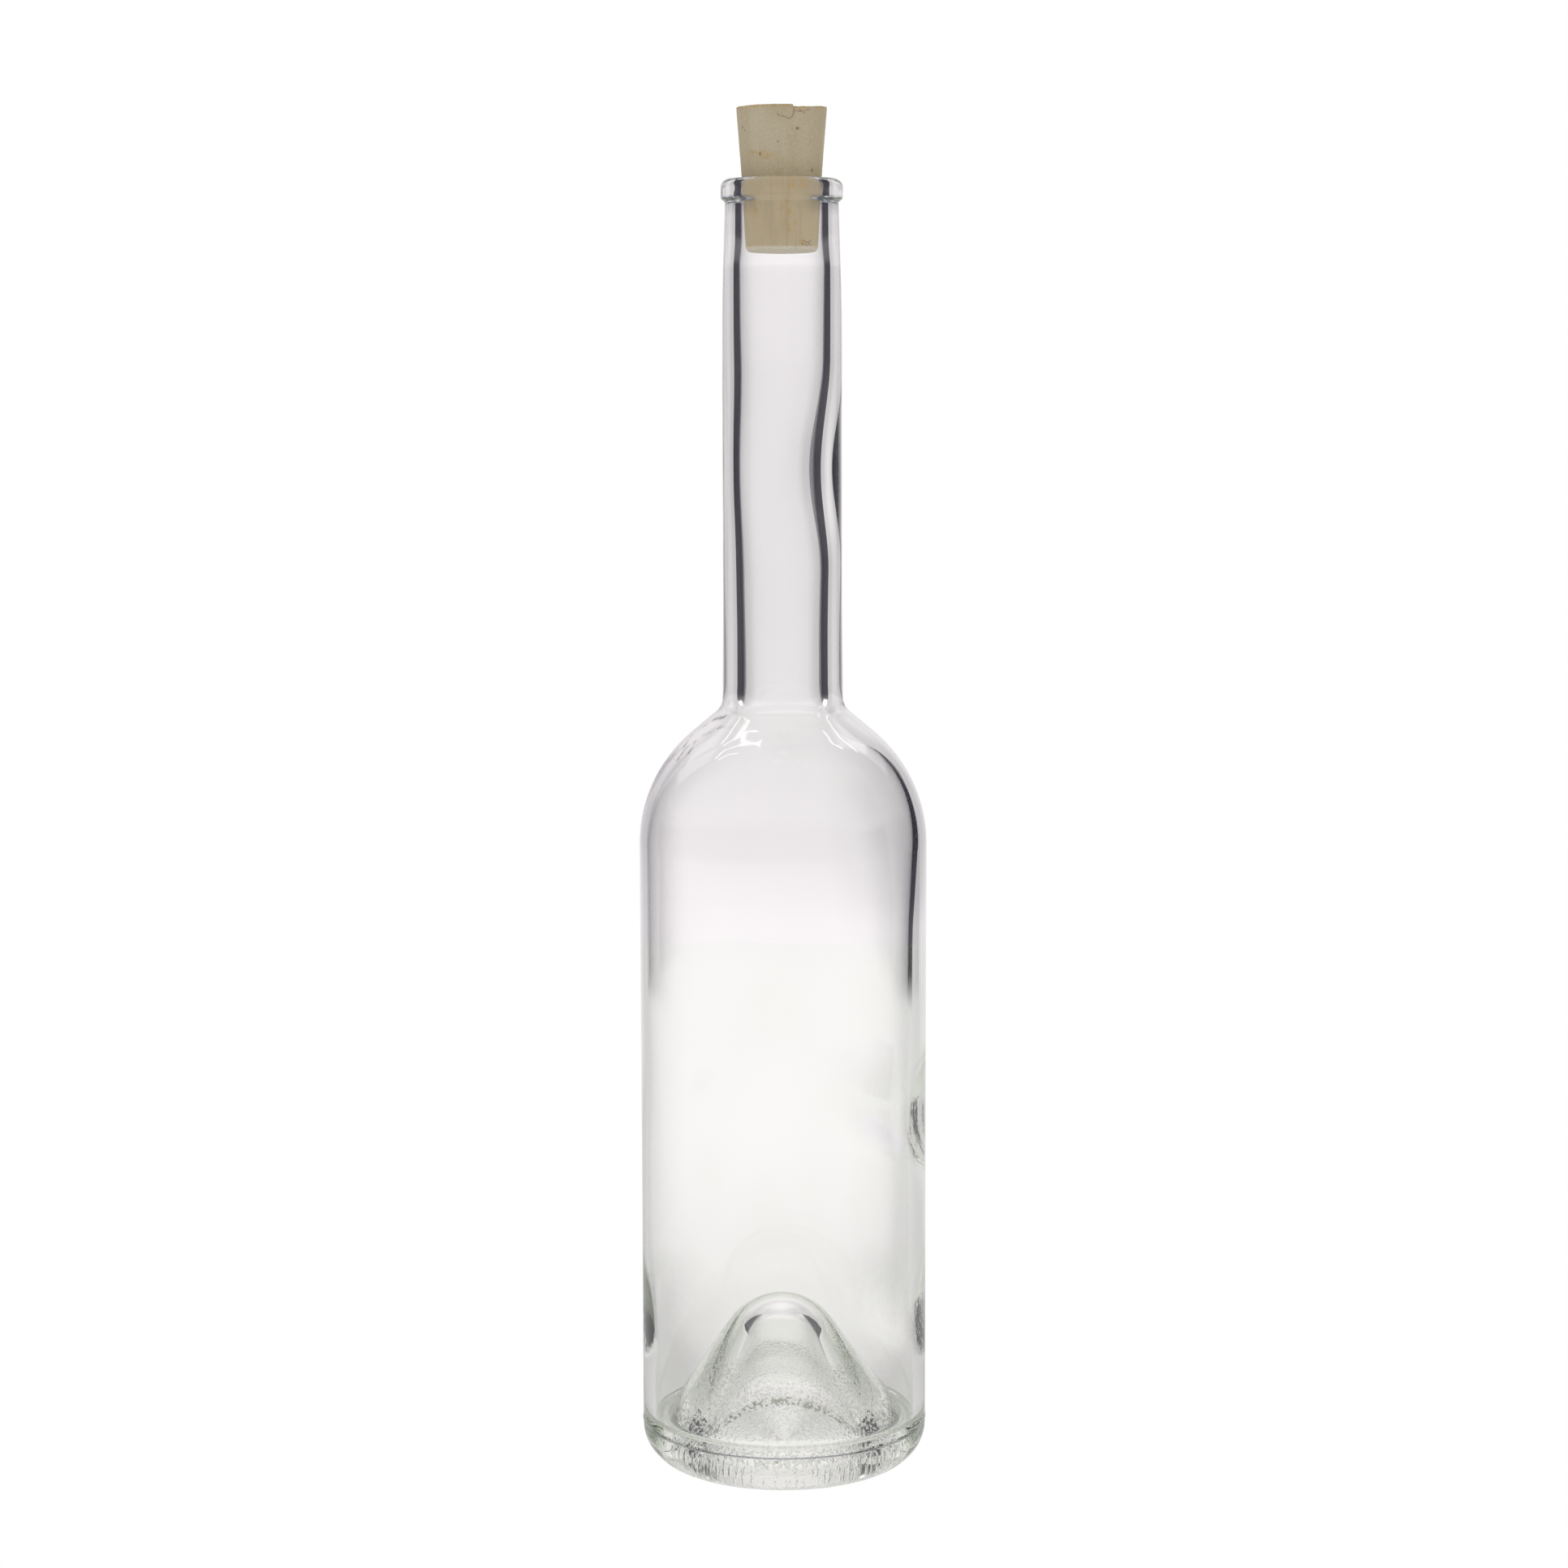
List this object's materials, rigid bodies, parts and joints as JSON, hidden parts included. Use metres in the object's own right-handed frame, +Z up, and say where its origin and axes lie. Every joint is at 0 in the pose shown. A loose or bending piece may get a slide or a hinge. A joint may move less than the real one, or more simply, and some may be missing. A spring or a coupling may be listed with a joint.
{
  "type": "corked glass bottle",
  "caption": "Tall clear glass bottle with a long neck, a domed shoulder, a deep punt in its base and a tapered cork that pulls straight out of the mouth.",
  "frame": {"origin": "on the bottle's axis, in the plane that the base stands on", "axes": "+Z up the axis from the base to the cork; +X towards the thick places in the glass; +Y completes a right-handed frame"},
  "size_m": [0.0684, 0.0684, 0.3215],
  "materials": {
    "clear_glass": "clear moulded glass, polished outside, faintly wavy, with a stippled punt",
    "natural_cork": "dry natural cork, matt, with pores, streaks and a crack across its top"
  },
  "bodies": {
    "bottle": {"glass_bottle": "clear_glass"},
    "stopper": {"cork_stopper": "natural_cork"}
  },
  "joints": [
    {"name": "cork_pull", "type": "slide", "parent": "bottle", "child": "stopper", "axis": [0, 0, 1], "range_m": [0, 0.045]}
  ]
}
